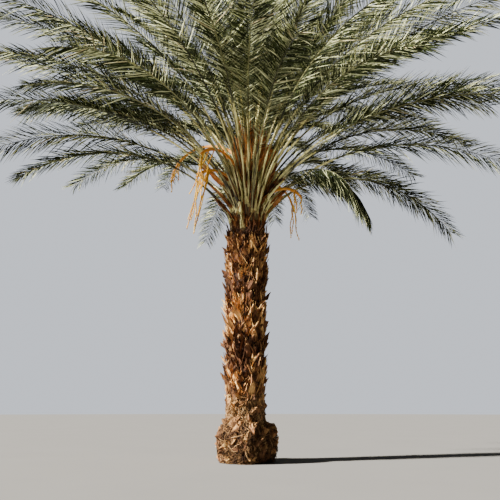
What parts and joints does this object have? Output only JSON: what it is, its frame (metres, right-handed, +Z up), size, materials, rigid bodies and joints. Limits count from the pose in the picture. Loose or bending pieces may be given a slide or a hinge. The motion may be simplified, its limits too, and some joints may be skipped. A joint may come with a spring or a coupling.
{
  "type": "date palm tree",
  "caption": "Whole grown date palm with a trunk clad in cut leaf stubs, a full crown of feathery arching fronds and bare fruit stalks.",
  "frame": {"origin": "middle of the flat cut under the trunk, at ground level", "axes": "+Z up along the upright trunk; -Y towards the side the picture shows; +X to that picture's right"},
  "size_m": [9.7012, 9.5523, 9.4651],
  "materials": {
    "trunk": "rough",
    "frond": "satin",
    "young_frond": "satin",
    "fruit_stalk": "satin"
  },
  "bodies": {
    "root": {"frond_01_arch": "frond", "frond_01_tip": "frond", "frond_02_arch": "frond", "frond_02_tip": "frond", "frond_03_arch": "frond", "frond_03_tip": "frond", "frond_04_arch": "frond", "frond_04_tip": "frond", "frond_05_arch": "frond", "frond_05_tip": "frond", "frond_06": "frond", "frond_07": "frond", "frond_08_arch": "frond", "frond_08_tip": "frond", "frond_09": "frond", "frond_10": "frond", "frond_11": "frond", "frond_12": "frond", "frond_13": "frond", "frond_14": "frond", "frond_15": "frond", "frond_16": "frond", "frond_17": "frond", "frond_18": "frond", "frond_19": "frond", "frond_20": "frond", "frond_21": "frond", "frond_22": "frond", "frond_23": "frond", "frond_24": "frond", "frond_25": "frond", "frond_26": "frond", "frond_27": "frond", "frond_28": "frond", "frond_29": "frond", "frond_30": "frond", "frond_31": "frond", "frond_32": "frond", "frond_33": "frond", "frond_34": "frond", "frond_35": "frond", "frond_36": "frond", "frond_37": "frond", "frond_38": "frond", "frond_39": "frond", "frond_40": "frond", "frond_41": "frond", "frond_42": "frond", "frond_43": "frond", "frond_44": "frond", "fruit_stalk_1": "fruit_stalk", "fruit_stalk_2": "fruit_stalk", "fruit_stalk_3": "fruit_stalk", "fruit_stalk_4": "fruit_stalk", "fruit_stalk_5": "fruit_stalk", "trunk": "trunk", "young_fronds": "young_frond"}
  },
  "joints": []
}
